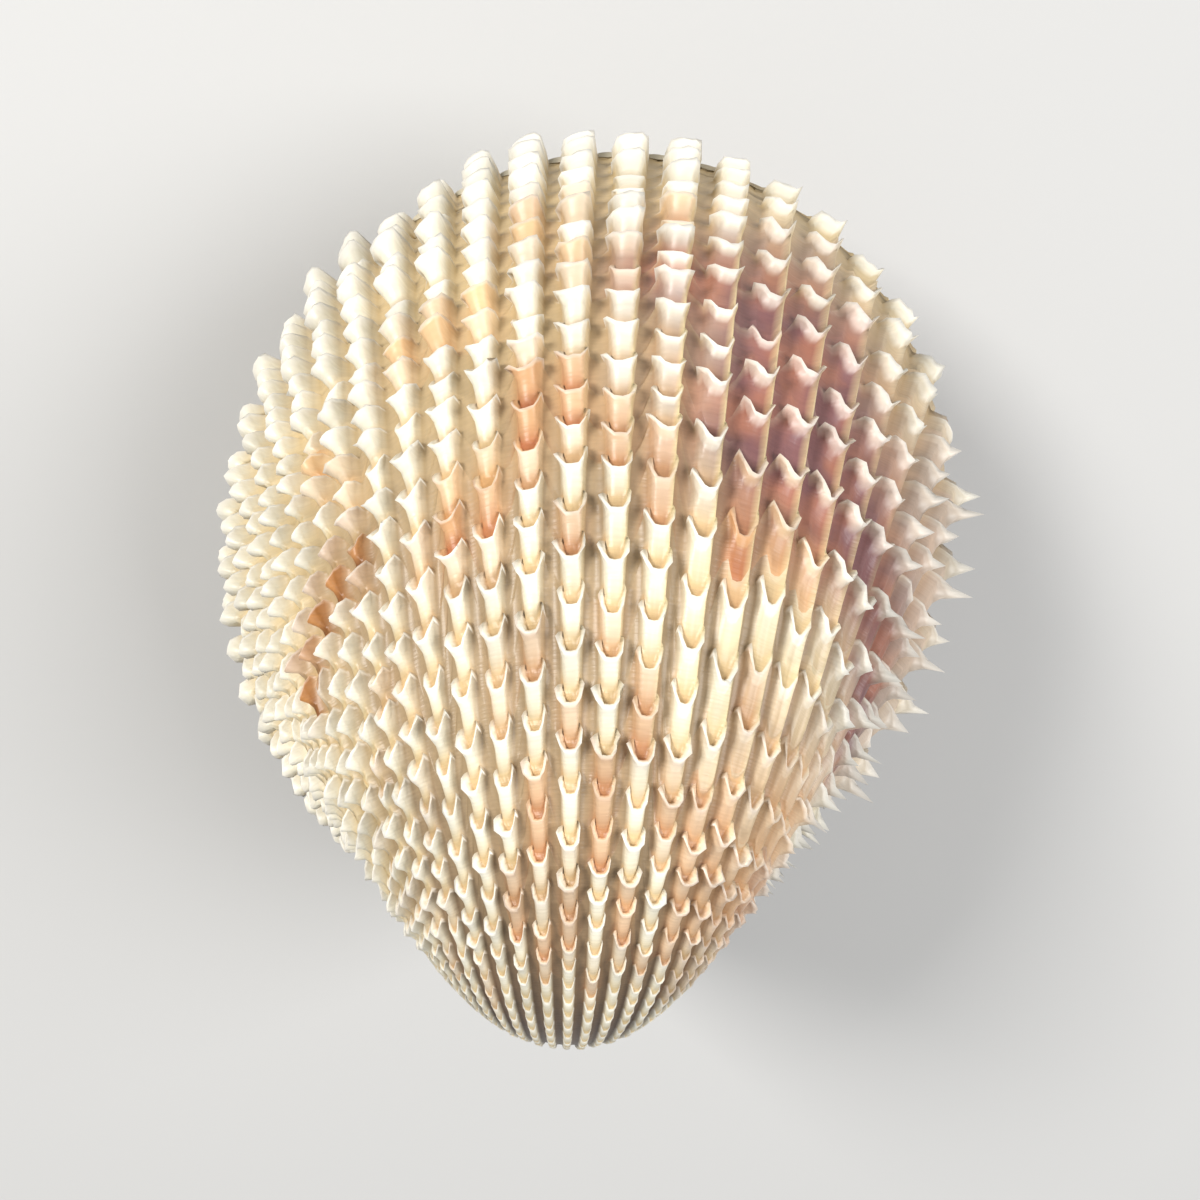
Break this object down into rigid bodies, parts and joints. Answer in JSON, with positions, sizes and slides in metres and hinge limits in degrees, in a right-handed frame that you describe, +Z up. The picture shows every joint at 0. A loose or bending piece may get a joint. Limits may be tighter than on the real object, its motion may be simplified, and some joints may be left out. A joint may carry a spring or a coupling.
{
  "type": "prickly cockle shell",
  "caption": "Closed cockle shell of two ribbed, scaly, rounded valves joined by a small horny ligament behind the beaks, lying on one valve.",
  "frame": {"origin": "middle of the shell's box, on the surface that the lower valve rests on", "axes": "+Y from the beaks to the belly edge, +X to the tail (posterior) end, +Z up through the right valve"},
  "size_m": [0.0526, 0.0618, 0.0493],
  "materials": {
    "shell": "satin cream shell with tan grooves",
    "ligament": "dull dark brown horn"
  },
  "bodies": {
    "root": {"right_valve": "shell", "left_valve": "shell", "ligament": "ligament"}
  },
  "joints": []
}
